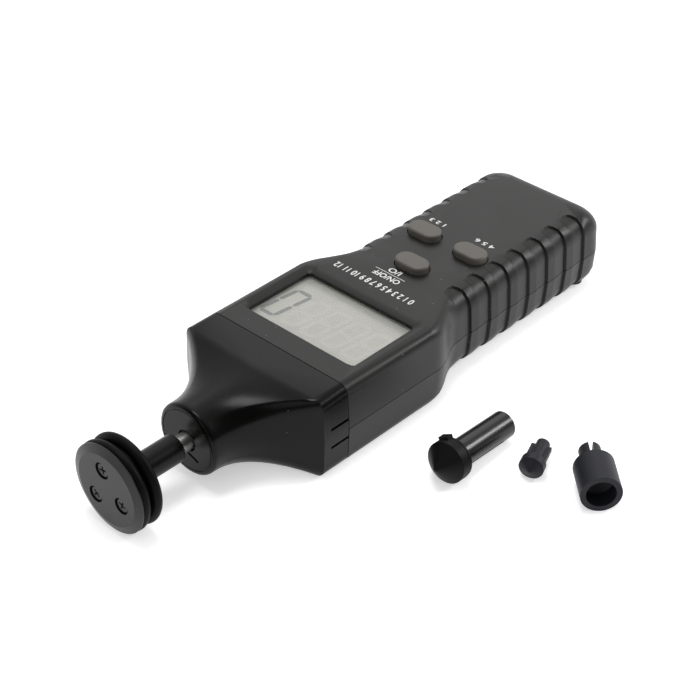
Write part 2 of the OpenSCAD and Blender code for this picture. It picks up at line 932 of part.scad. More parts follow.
module adapter_skin() {
    loft([
        adapter_ring(0, seam_edge, 0, nose_r),
        adapter_ring(seam_edge, 0, 0, nose_r),
        for (i = [0:flare_steps])
            let (u = i / flare_steps)
                adapter_ring(mix(band_l, flare_end, u), 0, flare_share(u), nose_r),
        for (a = [0:30:90])
            adapter_ring(adapter_l - lip_r + lip_r * sin(a), 0, 1, nose_r - lip_r + lip_r * cos(a))
    ]);
}

module adapter_hollow() {
    ledge = wall + spigot_play + spigot_t;
    difference() {
        union() {
            loft([for (x = [-spigot_l - overrun, ledge / 2]) adapter_ring(x, ledge, 0, nose_r)]);
            loft([
                adapter_ring(ledge / 2 - seat_play, adapter_wall, 0, nose_r),
                for (i = [0:2:flare_steps])
                    let (u = i / flare_steps, x = mix(band_l, flare_end, u))
                        if (x < hollow_end) adapter_ring(x, adapter_wall, flare_share(u), nose_r),
                adapter_ring(hollow_end, adapter_wall, flare_share((hollow_end - band_l) / (flare_end - band_l)), nose_r)
            ]);
        }
        along_spindle(tube_rear) cylinder(r = tube_bore_r + tube_wall, h = adapter_l);
        for (turn = [0, 90])
            along_spindle(tube_rear + bearing_w)
                rotate([0, 0, turn])
                    translate([-rib_t / 2, -head_w / 2, 0]) cube([rib_t, head_w, adapter_l]);
    }
}

module adapter_spigot() {
    fit = wall + spigot_play;
    difference() {
        loft([for (x = [-spigot_l, seat_play]) adapter_ring(x, fit, 0, nose_r)]);
        loft([for (x = [-spigot_l - overrun, overrun]) adapter_ring(x, fit + spigot_t, 0, nose_r)]);
    }
}

module nose_adapter() {
    color(adapter_colour)
        difference() {
            union() {
                adapter_skin();
                adapter_spigot();
            }
            adapter_hollow();
            along_spindle(tube_rear - overrun)
                cylinder(r = tube_bore_r, h = adapter_l - nose_wall - tube_rear + overrun);
            along_spindle(tube_rear) cylinder(r = nose_hole_r, h = adapter_l);
            for (side = [-1, 1], level = [-1, 1])
                translate([
                    -spigot_l - overrun, side * head_w / 2 - latch_reach,
                    latch_z + level * latch_spacing / 2 - latch_slot / 2
                ])
                    cube([spigot_l + overrun + latch_l, 2 * latch_reach, latch_slot]);
            along_spindle(adapter_l - face_groove)
                ring_solid(face_groove_r + face_groove, face_groove_r, face_groove + overrun);
            along_spindle(adapter_l - face_slot_t)
                translate([face_slot_in, 0, 0])
                    rotate([0, 0, face_slot_angle])
                        translate([0, -face_slot_w / 2, 0])
                            cube([face_slot_l, face_slot_w, face_slot_t + overrun]);
        }
}

// Bearings: outer rings and balls sit in the adapter, inner rings turn with the spindle

ball_pitch_r = (bearing_r + journal_r) / 2;
ball_r = 1.19;
race_gap = 0.55;
front_bearing_x = adapter_l - nose_wall - bearing_w;
rear_bearing_x = tube_rear + 0.5 * seat_play;

module each_bearing() {
    for (x = [rear_bearing_x, front_bearing_x - seat_play / 2]) along_spindle(x) children();
}

module race_groove() {
    translate([0, 0, bearing_w / 2])
        rotate_extrude() translate([ball_pitch_r, 0]) circle(r = ball_r + running_play);
}

module bearing_outer_rings() {
    color(metal_colour)
        each_bearing()
            difference() {
                ring_solid(bearing_r, ball_pitch_r + race_gap, bearing_w);
                race_groove();
            }
}

module bearing_inner_rings() {
    color(metal_colour)
        each_bearing()
            difference() {
                ring_solid(ball_pitch_r - race_gap, journal_r, bearing_w);
                race_groove();
            }
}

module bearing_balls() {
    color(metal_colour)
        each_bearing()
            for (i = [0:ball_count - 1])
                rotate([0, 0, 360 * i / ball_count])
                    translate([ball_pitch_r, 0, bearing_w / 2]) sphere(r = ball_r, $fn = 32);
}

module bearing_spacer() {
    start = rear_bearing_x + bearing_w;
    color(metal_colour)
        along_spindle(start)
            ring_solid(bearing_r - seat_play, ball_pitch_r + race_gap, front_bearing_x - seat_play / 2 - start);
}

// Spindle, its retaining ring and the slotted disc that the sensor reads

disc_x = 1.5;
disc_r = 10;
disc_t = 1.2;
disc_hub_r = 4.6;
disc_hub_l = 5;
disc_slots = 8;
disc_slot_in = 6.2;
disc_slot_out = 9;
disc_slot_w = 2.2;
clip_t = 0.6;
clip_r = 5;
clip_groove_r = 2.4;
clip_mouth = 3.6;
clip_x = rear_bearing_x - clip_t;
sleeve_x = adapter_l + sleeve_gap;
spindle_grip_l = 14.7;
spindle_end = sleeve_x + spindle_grip_l;
spindle_tip_r = 0.6;
journal_play = 0.01;

module spindle() {
    shoulder = front_bearing_x + bearing_w - seat_play / 2;
    color(metal_colour)
        along_spindle()
            rotate_extrude()
                polygon([
                    [0, disc_x], [journal_r - journal_play, disc_x],
                    [journal_r - journal_play, clip_x - seat_play], [clip_groove_r, clip_x - seat_play],
                    [clip_groove_r, rear_bearing_x], [journal_r - journal_play, rear_bearing_x],
                    [journal_r - journal_play, shoulder], [spindle_r, shoulder],
                    [spindle_r, spindle_end - spindle_tip_r], [spindle_r - spindle_tip_r, spindle_end],
                    [0, spindle_end]
                ]);
}

module retaining_ring() {
    color(metal_colour)
        along_spindle(clip_x - seat_play / 2)
            difference() {
                ring_solid(clip_r, clip_groove_r + seat_play, clip_t);
                translate([0, -clip_mouth / 2, -overrun]) cube([clip_r + overrun, clip_mouth, clip_t + 2 * overrun]);
            }
}

module chopper_disc() {
    color([0.9, 0.9, 0.88])
        along_spindle(disc_x)
            difference() {
                union() {
                    cylinder(r = disc_r, h = disc_t);
                    cylinder(r = disc_hub_r, h = disc_hub_l);
                }
                translate([0, 0, -overrun]) cylinder(r = journal_r, h = disc_hub_l + 2 * overrun);
                for (i = [0:disc_slots - 1])
                    rotate([0, 0, 360 * i / disc_slots])
                        translate([disc_slot_in, -disc_slot_w / 2, -overrun])
                            cube([disc_slot_out - disc_slot_in, disc_slot_w, disc_t + 2 * overrun]);
            }
}

// Contact wheel: sleeve and rim in one piece, two rubber rings, front plate, three screws

rim_x = sleeve_x + sleeve_l;
plate_x = rim_x + rim_l;
ring_centre_r = wheel_r - ring_r;
rear_ring_x = rim_x + ring_r;
front_ring_x = plate_x - ring_r - seat_play;
ring_stand_share = 1.5;
rim_r = wheel_r - ring_stand_share * ring_r;
sleeve_edge = 0.5;
plate_set_in = 0.15;
plate_rim_r = wheel_r - plate_set_in;
plate_face_r = 12.9;
plate_edge = 0.35;
screw_well_r = 2.95;
screw_well_t = 1.1;
wheel_head_r = 2.3;
wheel_head_t = 0.65;
wheel_recess_share = 0.7;
wheel_screw_r = 1.1;
wheel_screw_l = 7;
wheel_screw_angle = 70;
hub_bore_r = spindle_r + running_play;
tip_room = 1.5;
hub_bore_l = spindle_grip_l + tip_room;

module wheel_hub() {
    color(adapter_colour)
        difference() {
            along_spindle()
                rotate_extrude()
                    polygon([
                        [0, sleeve_x], [sleeve_r - sleeve_edge, sleeve_x], [sleeve_r, sleeve_x + sleeve_edge],
                        [sleeve_r, rim_x], [rim_r, rim_x], [rim_r, plate_x], [0, plate_x]
                    ]);
            along_spindle(sleeve_x - overrun) cylinder(r = hub_bore_r, h = hub_bore_l + overrun);
            for (x = [rear_ring_x, front_ring_x])
                along_spindle(x)
                    rotate_extrude() translate([ring_centre_r, 0]) circle(r = ring_r + seat_play);
            for (i = [0:2])
                along_spindle(plate_x - wheel_screw_l)
                    rotate([0, 0, wheel_screw_angle + 120 * i])
                        translate([wheel_screw_pcr, 0, 0])
                            cylinder(r = wheel_screw_r + seat_play, h = wheel_screw_l + overrun);
        }
}

module drive_ring(x) {
    color(rubber_colour)
        along_spindle(x) rotate_extrude() translate([ring_centre_r, 0]) circle(r = ring_r);
}

module rear_drive_ring() drive_ring(rear_ring_x);

module front_drive_ring() drive_ring(front_ring_x);

module wheel_plate() {
    color(adapter_colour)
        difference() {
            along_spindle(plate_x)
                rotate_extrude()
                    polygon([
                        [0, 0], [plate_rim_r, 0], [plate_rim_r, plate_edge],
                        [plate_face_r, plate_t], [0, plate_t]
                    ]);
            for (i = [0:2])
                along_spindle(plate_x)
                    rotate([0, 0, wheel_screw_angle + 120 * i])
                        translate([wheel_screw_pcr, 0, 0]) {
                            translate([0, 0, plate_t - screw_well_t])
                                cylinder(r = screw_well_r, h = screw_well_t + overrun);
                            translate([0, 0, -overrun])
                                cylinder(r = wheel_screw_r + seat_play, h = plate_t + 2 * overrun);
                        }
        }
}

module wheel_screws() {
    color(metal_colour)
        for (i = [0:2])
            along_spindle(plate_x + plate_t - screw_well_t)
                rotate([0, 0, wheel_screw_angle + 120 * i])
                    translate([wheel_screw_pcr, 0, 0])
                        difference() {
                            union() {
                                cylinder(r = wheel_head_r, h = wheel_head_t);
                                translate([0, 0, -wheel_screw_l + screw_well_t])
                                    cylinder(r = wheel_screw_r, h = wheel_screw_l - screw_well_t);
                            }
                            translate([0, 0, wheel_head_t])
                                cross_recess(
                                    wheel_head_r * recess_share, wheel_head_r * recess_wide_share,
                                    wheel_head_t * wheel_recess_share
                                );
                        }
}

// Spare tips: each is modelled along +Z from its stem's end, then laid down on the table.
// x is how far its front rim lies behind the seam, and turn the way that the tip points.

extension_x = 14.7;
extension_y = 60.2;
extension_angle = 2.5;
small_cone_x = 34.6;
small_cone_y = 79.1;
small_cone_angle = 21;
cup_x = 37;
cup_y = 105;
cup_angle = 47;
tip_back_l = 1.5;
tip_edge = 0.4;
tip_point_r = 0.6;
socket_l = 14;
slot_w = 1.8;
slot_share = 0.8;
slot_angle = 60;
lug_t = 0.9;
lug_w = 3.8;
lug_l = 2.6;
lug_stand = 0.7;
lug_angle = 208;
collar_l = 4.2;
small_band_l = 3;
small_stem_r = 2.3;
small_stem_l = 10.2;
key_w = 1.8;
key_l = 8;
key_stand = 1.1;
cup_edge = 0.9;
cup_stem_r = 3.7;
cup_stem_l = 6.9;
stem_slot = 1.5;
stem_slot_t = 5.6;

// Lays a tip down with its axis level at height z
module lay_tip(x, y, z, angle) {
    translate([-x, y, z]) rotate([0, 0, angle]) rotate([0, 90, 0]) children();
}

// The extension lies on its tip's rim and its own far end, so its axis dips to the rear
extension_dip_angle = atan((cone_r - extension_r) / (tip_back_l + extension_l));
extension_z = cone_r * cos(extension_dip_angle) + cone_band_l * sin(extension_dip_angle);

module lay_extension() {
    translate([-extension_x, extension_y, extension_z])
        rotate([0, 0, extension_angle])
            rotate([0, 90 - extension_dip_angle, 0])
                children();
}

module extension_shaft() {
    start = -cone_band_l - tip_back_l - extension_l;
    color([0.1, 0.1, 0.1])
        lay_extension()
            difference() {
                translate([0, 0, start]) cylinder(r = extension_r, h = extension_l);
                translate([0, 0, start - overrun]) cylinder(r = hub_bore_r, h = socket_l + overrun);
                rotate([0, 0, slot_angle])
                    translate([extension_r - lug_t, -slot_w / 2, start + extension_l * (1 - slot_share)])
                        cube([2 * lug_t, slot_w, extension_l]);
                translate([0, 0, start + extension_l - collar_l - seat_play])
                    cylinder(r = stem_r - lug_t + seat_play, h = collar_l + overrun);
            }
}

// A cone on a straight band, a collar parted from the band by a groove, a lug and a stem
module large_cone_tip() {
    back = -cone_band_l - tip_back_l;
    color(rubber_colour)
        lay_extension() {
            rotate_extrude()
                polygon([
                    [0, back - collar_l], [stem_r - lug_t, back - collar_l], [stem_r - lug_t, back],
                    [cone_r - 2 * tip_edge, back], [cone_r - tip_edge / 2, back + tip_edge],
                    [cone_r - tip_edge / 2, -cone_band_l - tip_edge], [cone_r - tip_edge, -cone_band_l - tip_edge],
                    [cone_r - tip_edge, -cone_band_l], [cone_r, -cone_band_l], [cone_r, 0],
                    [tip_point_r, cone_l - tip_point_r / 2], [0, cone_l]
                ]);
            rotate([0, 0, lug_angle])
                translate([0, -lug_w / 2, -cone_band_l - lug_l / 2])
                    cube([cone_r + lug_stand, lug_w, lug_l]);
        }
}

// Cone, band and stem, with two keys along the stem that slide into the spindle's end
module small_cone_tip() {
    back = -small_band_l - tip_edge;
    color(rubber_colour)
        lay_tip(small_cone_x, small_cone_y, small_cone_r, small_cone_angle) {
            translate([-key_w / 2, -small_stem_r - key_stand, back - key_l])
                cube([key_w, 2 * (small_stem_r + key_stand), key_l]);
            rotate_extrude()
                polygon([
                    [0, back - small_stem_l], [small_stem_r - tip_edge, back - small_stem_l],
                    [small_stem_r, back - small_stem_l + tip_edge], [small_stem_r, back],
                    [small_cone_r - tip_edge, back], [small_cone_r, -small_band_l], [small_cone_r, 0],
                    [tip_point_r, small_cone_l - tip_point_r / 2], [0, small_cone_l]
                ]);
        }
}

// A cup on a stem that is slotted from end to end
module cup_tip() {
    color(rubber_colour)
        lay_tip(cup_x, cup_y, cup_r, cup_angle)
            difference() {
                rotate_extrude()
                    polygon([
                        [0, -cup_l - cup_stem_l], [cup_stem_r, -cup_l - cup_stem_l], [cup_stem_r, -cup_l],
                        [cup_r - cup_edge, -cup_l], [cup_r, -cup_l + cup_edge], [cup_r, 0], [0, 0]
                    ]);
                translate([0, 0, -cup_depth]) cylinder(r = cup_bore_r, h = cup_depth + overrun);
                translate([0, 0, -cup_depth - cup_bore_r / 2])
                    cylinder(r1 = 0, r2 = cup_bore_r, h = cup_bore_r / 2);
                translate([-cup_r, -stem_slot / 2, -cup_l - cup_stem_l - overrun])
                    cube([2 * cup_r, stem_slot, stem_slot_t + overrun]);
            }
}

// Everything is placed from the seam, which lies in front of the origin
module placed() translate([display_setback, 0, 0]) children();

placed() upper_shell();
placed() lower_shell();
placed() display_window();
placed() lcd_panel();
placed() contact_strips();
placed() main_board();
placed() board_parts();
placed() tact_switches();
placed() board_screws();
placed() case_screws();
placed() sensor_window();
placed() sensor_board();
placed() sensor_eyes();
placed() battery_cells();
placed() battery_plates();
placed() battery_springs();
placed() battery_door();
placed() power_button();
placed() memory_button();
placed() test_button();
placed() nose_adapter();
placed() bearing_outer_rings();
placed() bearing_balls();
placed() bearing_spacer();
placed() spindle();
placed() bearing_inner_rings();
placed() retaining_ring();
placed() chopper_disc();
placed() wheel_hub();
placed() rear_drive_ring();
placed() front_drive_ring();
placed() wheel_plate();
placed() wheel_screws();
placed() extension_shaft();
placed() large_cone_tip();
placed() small_cone_tip();
placed() cup_tip();
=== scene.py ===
import json
import math

import bpy
from mathutils import Matrix, Vector

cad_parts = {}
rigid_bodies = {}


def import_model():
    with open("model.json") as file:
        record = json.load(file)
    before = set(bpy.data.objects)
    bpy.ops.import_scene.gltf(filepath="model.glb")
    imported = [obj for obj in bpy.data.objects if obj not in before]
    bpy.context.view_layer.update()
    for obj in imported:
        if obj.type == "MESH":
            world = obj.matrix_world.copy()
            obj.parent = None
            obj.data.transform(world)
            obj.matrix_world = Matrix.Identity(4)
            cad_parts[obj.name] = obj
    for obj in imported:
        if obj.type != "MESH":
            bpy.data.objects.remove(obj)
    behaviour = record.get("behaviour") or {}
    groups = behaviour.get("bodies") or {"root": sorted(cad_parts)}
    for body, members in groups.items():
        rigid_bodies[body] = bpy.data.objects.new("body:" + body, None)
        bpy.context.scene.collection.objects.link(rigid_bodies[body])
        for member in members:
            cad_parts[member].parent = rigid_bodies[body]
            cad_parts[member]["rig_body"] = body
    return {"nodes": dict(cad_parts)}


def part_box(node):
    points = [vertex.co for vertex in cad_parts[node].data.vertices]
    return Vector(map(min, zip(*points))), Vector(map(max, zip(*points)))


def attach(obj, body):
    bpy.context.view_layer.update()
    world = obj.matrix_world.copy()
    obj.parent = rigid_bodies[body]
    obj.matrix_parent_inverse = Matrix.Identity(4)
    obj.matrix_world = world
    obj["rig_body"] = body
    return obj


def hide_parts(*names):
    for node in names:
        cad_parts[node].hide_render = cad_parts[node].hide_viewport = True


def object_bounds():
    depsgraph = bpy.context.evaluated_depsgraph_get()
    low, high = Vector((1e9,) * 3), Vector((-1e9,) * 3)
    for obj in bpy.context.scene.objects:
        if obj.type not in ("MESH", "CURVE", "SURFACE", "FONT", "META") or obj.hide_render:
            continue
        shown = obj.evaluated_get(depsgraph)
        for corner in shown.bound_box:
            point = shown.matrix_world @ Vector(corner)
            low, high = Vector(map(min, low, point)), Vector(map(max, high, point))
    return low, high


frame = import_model()
cad_low, cad_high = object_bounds()


# Camera, lamps and floor
# A long lens looks down from in front of the wheel and from the side of the loose tips. The
# light is a soft box overhead and weaker ones behind, in front and beside the handle. The room
# is white, but what faces the side of the camera mirrors a dim wall there.

SENSOR_WIDTH_MM = 36
LENS_MM = 92.571
CAMERA_PLACE = (0.35204, 0.34111, 0.37301)
CAMERA_DEGREES = (53.991, 0.040, 133.290)

camera_data = bpy.data.cameras.new("camera")
camera_data.sensor_width = SENSOR_WIDTH_MM
camera_data.lens = LENS_MM
camera = bpy.data.objects.new("camera", camera_data)
camera.location = CAMERA_PLACE
camera.rotation_euler = [math.radians(degrees) for degrees in CAMERA_DEGREES]
bpy.context.scene.collection.objects.link(camera)
bpy.context.scene.camera = camera
bpy.context.scene.view_settings.view_transform = "Standard"

LAMP_TARGET = (0, 0.02, 0)


def soft_box(name, place, size, power):
    """A rectangular lamp that faces a point under the display."""
    data = bpy.data.lights.new(name, "AREA")
    data.shape = "RECTANGLE"
    data.size, data.size_y = size
    data.energy = power
    lamp = bpy.data.objects.new(name, data)
    lamp.location = place
    aim = Vector(LAMP_TARGET) - Vector(place)
    lamp.rotation_euler = aim.to_track_quat("-Z", "Y").to_euler()
    bpy.context.scene.collection.objects.link(lamp)


soft_box("overhead_lamp", (0.0, -0.12, 1.1), size=(0.45, 0.35), power=4.4)
soft_box("back_lamp", (-0.8, -0.5, 0.75), size=(0.8, 0.6), power=1.3)
soft_box("front_lamp", (1.1, 0.2, 0.7), size=(0.7, 0.7), power=1.4)
soft_box("side_lamp", (-0.75, 0.5, 0.55), size=(0.25, 0.25), power=3.8)


def add_node(tree, kind, settings=None, **inputs):
    """A shader node with its settings and the values of its sockets."""
    made = tree.nodes.new(kind)
    for key, value in (settings or {}).items():
        setattr(made, key, value)
    for key, value in inputs.items():
        made.inputs[key.replace("_", " ")].default_value = value
    return made


def seen_rays(tree):
    """An output that is 1 for the rays that show the background, and 0 for those that light."""
    path = add_node(tree, "ShaderNodeLightPath")
    first = add_node(tree, "ShaderNodeMath", {"operation": "MAXIMUM"})
    both = add_node(tree, "ShaderNodeMath", {"operation": "MAXIMUM"})
    tree.links.new(path.outputs["Is Camera Ray"], first.inputs[0])
    tree.links.new(path.outputs["Is Glossy Ray"], first.inputs[1])
    tree.links.new(first.outputs[0], both.inputs[0])
    tree.links.new(path.outputs["Is Transmission Ray"], both.inputs[1])
    return both.outputs[0]


# A mirrored ray finds a white room where it heads away from the near side. As the cosine of its
# angle to that side goes from FADE_START to FADE_END, the tone falls to NEAR_TONE. Matt surfaces
# get ROOM_LIGHT from every side.

ROOM_LIGHT = 0.58
NEAR_SIDE = (0.718, 0.696, 0.0)
NEAR_TONE = 0.06
FADE_START = -0.5
FADE_END = 0.25

world = bpy.data.worlds.new("pale_room")
world.use_nodes = True
bpy.context.scene.world = world
room = world.node_tree
heading = add_node(room, "ShaderNodeTexCoord").outputs["Object"]
nearness = add_node(room, "ShaderNodeVectorMath", {"operation": "DOT_PRODUCT"})
nearness.inputs[1].default_value = NEAR_SIDE
mirrored = add_node(room, "ShaderNodeMapRange", From_Min=FADE_START, From_Max=FADE_END)
mirrored.inputs["To Min"].default_value = 1.0
mirrored.inputs["To Max"].default_value = NEAR_TONE
seen = add_node(room, "ShaderNodeMapRange", To_Max=1.0)
room_share = add_node(room, "ShaderNodeMapRange", To_Min=ROOM_LIGHT)
room.links.new(heading, nearness.inputs[0])
room.links.new(nearness.outputs["Value"], mirrored.inputs["Value"])
room.links.new(mirrored.outputs["Result"], seen.inputs["To Min"])
room.links.new(add_node(room, "ShaderNodeLightPath").outputs["Is Camera Ray"], seen.inputs["Value"])
room.links.new(seen.outputs["Result"], room_share.inputs["To Max"])
room.links.new(seen_rays(room), room_share.inputs["Value"])
room.nodes["Background"].inputs["Color"].default_value = (1, 1, 1, 1)
room.links.new(room_share.outputs["Result"], room.nodes["Background"].inputs["Strength"])

FLOOR_SIZE = 6
FLOOR_DROP = 0.00005
FLOOR_GLOW = 0.44
FLOOR_COLOUR = (0.88, 0.88, 0.89, 1)

bpy.ops.mesh.primitive_plane_add(size=FLOOR_SIZE, location=(0, 0, cad_low.z - FLOOR_DROP))
floor = bpy.context.object
floor.name = "floor"
floor_paint = bpy.data.materials.new("floor_paint")
floor_paint.use_nodes = True
paint = floor_paint.node_tree
paint.nodes.remove(paint.nodes["Principled BSDF"])
matt = add_node(paint, "ShaderNodeBsdfDiffuse", Color=FLOOR_COLOUR)
glow = add_node(paint, "ShaderNodeEmission", Color=(1, 1, 1, 1))
glow_share = add_node(paint, "ShaderNodeMapRange", To_Min=0.0, To_Max=FLOOR_GLOW)
matt_and_glow = add_node(paint, "ShaderNodeAddShader")
paint.links.new(seen_rays(paint), glow_share.inputs["Value"])
paint.links.new(glow_share.outputs["Result"], glow.inputs["Strength"])
paint.links.new(matt.outputs[0], matt_and_glow.inputs[0])
paint.links.new(glow.outputs[0], matt_and_glow.inputs[1])
paint.links.new(matt_and_glow.outputs[0], paint.nodes["Material Output"].inputs["Surface"])
floor.data.materials.append(floor_paint)


# Housing shells and battery door
# Two shells of satin charcoal plastic that meet along a shadow gap, with finger pockets moulded
# into their sides, and a door that slides out of the back. The mould leaves a fine grain.


def new_material(name):
    """A new material, with its tree and its shader."""
    made = bpy.data.materials.new(name)
    made.use_nodes = True
    return made, made.node_tree, made.node_tree.nodes["Principled BSDF"]


CLOUD_SCALE = 60.0
CLOUD_DARK_UP_TO = 0.35
CLOUD_LIGHT_FROM = 0.65
DUST_SCALE = 240.0
DUST_COLOUR = (0.35, 0.34, 0.32, 1)
LESS_ROUGH = 0.05
MORE_ROUGH = 0.06
EDGE_SAMPLES = 6


def moulded(name, dark, light, rough, grain=9000, depth=0.00001, edge=0.0002, dust=0.0, gloss=0.5):
    """Moulded plastic or rubber: two near tones, a fine grain, softened edges, and specks of
    dust, whose radius is given as a share of their spacing."""
    made, tree, shader = new_material(name)
    shader.inputs["Specular IOR Level"].default_value = gloss
    place = add_node(tree, "ShaderNodeTexCoord").outputs["Object"]
    cloud = add_node(tree, "ShaderNodeTexNoise", Scale=CLOUD_SCALE, Detail=3.0)
    tones = add_node(tree, "ShaderNodeValToRGB")
    tones.color_ramp.elements[0].position = CLOUD_DARK_UP_TO
    tones.color_ramp.elements[1].position = CLOUD_LIGHT_FROM
    tones.color_ramp.elements[0].color = (*dark, 1)
    tones.color_ramp.elements[1].color = (*light, 1)
    tree.links.new(place, cloud.inputs["Vector"])
    tree.links.new(cloud.outputs["Fac"], tones.inputs["Fac"])
    colour = tones.outputs["Color"]
    if dust:
        cells = add_node(tree, "ShaderNodeTexVoronoi", Scale=DUST_SCALE)
        near = add_node(tree, "ShaderNodeMath", {"operation": "LESS_THAN"})
        near.inputs[1].default_value = dust
        speck = add_node(tree, "ShaderNodeMix", {"data_type": "RGBA"})
        speck.inputs["B"].default_value = DUST_COLOUR
        tree.links.new(place, cells.inputs["Vector"])
        tree.links.new(cells.outputs["Distance"], near.inputs[0])
        tree.links.new(near.outputs[0], speck.inputs["Factor"])
        tree.links.new(colour, speck.inputs["A"])
        colour = speck.outputs["Result"]
    tree.links.new(colour, shader.inputs["Base Color"])
    wear = add_node(tree, "ShaderNodeMapRange")
    wear.inputs["To Min"].default_value = rough - LESS_ROUGH
    wear.inputs["To Max"].default_value = rough + MORE_ROUGH
    tree.links.new(cloud.outputs["Fac"], wear.inputs["Value"])
    tree.links.new(wear.outputs["Result"], shader.inputs["Roughness"])
    pits = add_node(tree, "ShaderNodeTexNoise", Scale=grain, Detail=2.0)
    soft = add_node(tree, "ShaderNodeBevel", {"samples": EDGE_SAMPLES}, Radius=edge)
    bump = add_node(tree, "ShaderNodeBump", Strength=1.0, Distance=depth)
    tree.links.new(place, pits.inputs["Vector"])
    tree.links.new(pits.outputs["Fac"], bump.inputs["Height"])
    tree.links.new(soft.outputs["Normal"], bump.inputs["Normal"])
    tree.links.new(bump.outputs["Normal"], shader.inputs["Normal"])
    return made


def finish_node(name, material):
    """Gives a CAD node its material."""
    mesh = frame["nodes"][name].data
    mesh.materials.clear()
    mesh.materials.append(material)


def dressed(name, material, angle=32, merge=0.000002):
    """A merged copy of a CAD node, which it replaces. It shades smoothly over angles up to the
    one given, and broad flat faces keep their own normals."""
    body = frame["nodes"][name]["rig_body"]
    piece = bpy.data.objects.new(name + "_skin", frame["nodes"][name].data.copy())
    bpy.context.scene.collection.objects.link(piece)
    bpy.ops.object.select_all(action="DESELECT")
    piece.select_set(True)
    bpy.context.view_layer.objects.active = piece
    bpy.ops.object.mode_set(mode="EDIT")
    bpy.ops.mesh.select_all(action="SELECT")
    bpy.ops.mesh.remove_doubles(threshold=merge)
    bpy.ops.object.mode_set(mode="OBJECT")
    bpy.ops.mesh.customdata_custom_splitnormals_clear()
    bpy.ops.object.shade_smooth_by_angle(angle=math.radians(angle))
    broad = piece.modifiers.new("broad_faces", "WEIGHTED_NORMAL")
    broad.mode = "FACE_AREA"
    broad.keep_sharp = True
    bpy.ops.object.modifier_apply(modifier=broad.name)
    piece.data.materials.clear()
    piece.data.materials.append(material)
    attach(piece, body)
    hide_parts(name)


SHELL_ANGLE = 44
SHELL_MERGE = 0.00001

shell_plastic = moulded(
    "shell_plastic", (0.0082, 0.0079, 0.0072), (0.0100, 0.0097, 0.0089), rough=0.37,
    depth=0.000008, edge=0.00015, dust=0.03, gloss=0.27,
)
for name in ("upper_shell", "lower_shell"):
    dressed(name, shell_plastic, angle=SHELL_ANGLE, merge=SHELL_MERGE)
dressed("battery_door", shell_plastic)


# Display
# A clear window in the opening, a liquid crystal panel under it that shows one figure beside
# four idle ones, and two rubber strips that join the panel to the board.

WINDOW_COLOUR = (0.9, 0.92, 0.9, 1)
WINDOW_ALPHA = 0.07
WINDOW_GLOSS = 0.3
HAZE_SCALE = 80.0
HAZE_LEAST = 0.03
HAZE_MOST = 0.1

window_plastic, window_tree, window_shader = new_material("window_plastic")
window_shader.inputs["Base Color"].default_value = WINDOW_COLOUR
window_shader.inputs["Alpha"].default_value = WINDOW_ALPHA
window_shader.inputs["Specular IOR Level"].default_value = WINDOW_GLOSS
window_haze = add_node(window_tree, "ShaderNodeTexNoise", Scale=HAZE_SCALE)
window_rough = add_node(
    window_tree, "ShaderNodeMapRange", To_Min=HAZE_LEAST, To_Max=HAZE_MOST
)
window_tree.links.new(
    add_node(window_tree, "ShaderNodeTexCoord").outputs["Object"], window_haze.inputs["Vector"]
)
window_tree.links.new(window_haze.outputs["Fac"], window_rough.inputs["Value"])
window_tree.links.new(window_rough.outputs["Result"], window_shader.inputs["Roughness"])
finish_node("display_window", window_plastic)

panel_glass = moulded(
    "panel_glass", (0.36, 0.355, 0.32), (0.39, 0.386, 0.35), rough=0.35,
    grain=20000, depth=0.000002, edge=0.0001,
)
finish_node("lcd_panel", panel_glass)

SEGMENT_GAP = 0.0002
SEGMENT_W = 0.0016
SEGMENT_T = 0.000006
DIGIT_W = 0.0063
DIGIT_H = 0.0165
DIGIT_PITCH = 0.0093
DIGIT_SLANT = 0.12
FIGURE_Y = -0.0195
FIGURE_X = 0.0012
IDLE_FIGURES = 4

panel_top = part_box("lcd_panel")[1].z


def segment(length, width, place, upright):
    """One bar of a figure, with pointed ends: a flat hexagon, long across or along the body."""
    bpy.ops.object.select_all(action="DESELECT")
    bpy.ops.mesh.primitive_circle_add(
        vertices=6, radius=length / 2, fill_type="NGON", location=(0, 0, 0)
    )
    bar = bpy.context.object
    for corner in bar.data.vertices:
        along, across = corner.co.y, corner.co.x
        pointed = abs(across) < length / 100
        along = math.copysign(length / 2 if pointed else length / 2 - width / 2, along)
        across = 0 if pointed else math.copysign(width / 2, across)
        corner.co = (along, across, 0) if upright else (across, along, 0)
    bpy.ops.object.mode_set(mode="EDIT")
    bpy.ops.mesh.select_all(action="SELECT")
    bpy.ops.mesh.extrude_region_move(TRANSFORM_OT_translate={"value": (0, 0, SEGMENT_T)})
    bpy.ops.mesh.select_all(action="SELECT")
    bpy.ops.mesh.normals_make_consistent(inside=False)
    bpy.ops.object.mode_set(mode="OBJECT")
    bar.data.transform(Matrix.Translation(place))
    return bar


def joined(bars, name, material, body):
    """One piece of several meshes, on a body."""
    bpy.ops.object.select_all(action="DESELECT")
    for bar in bars:
        bar.select_set(True)
    bpy.context.view_layer.objects.active = bars[0]
    bpy.ops.object.join()
    piece = bpy.context.object
    piece.name = name
    piece.data.materials.clear()
    piece.data.materials.append(material)
    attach(piece, body)


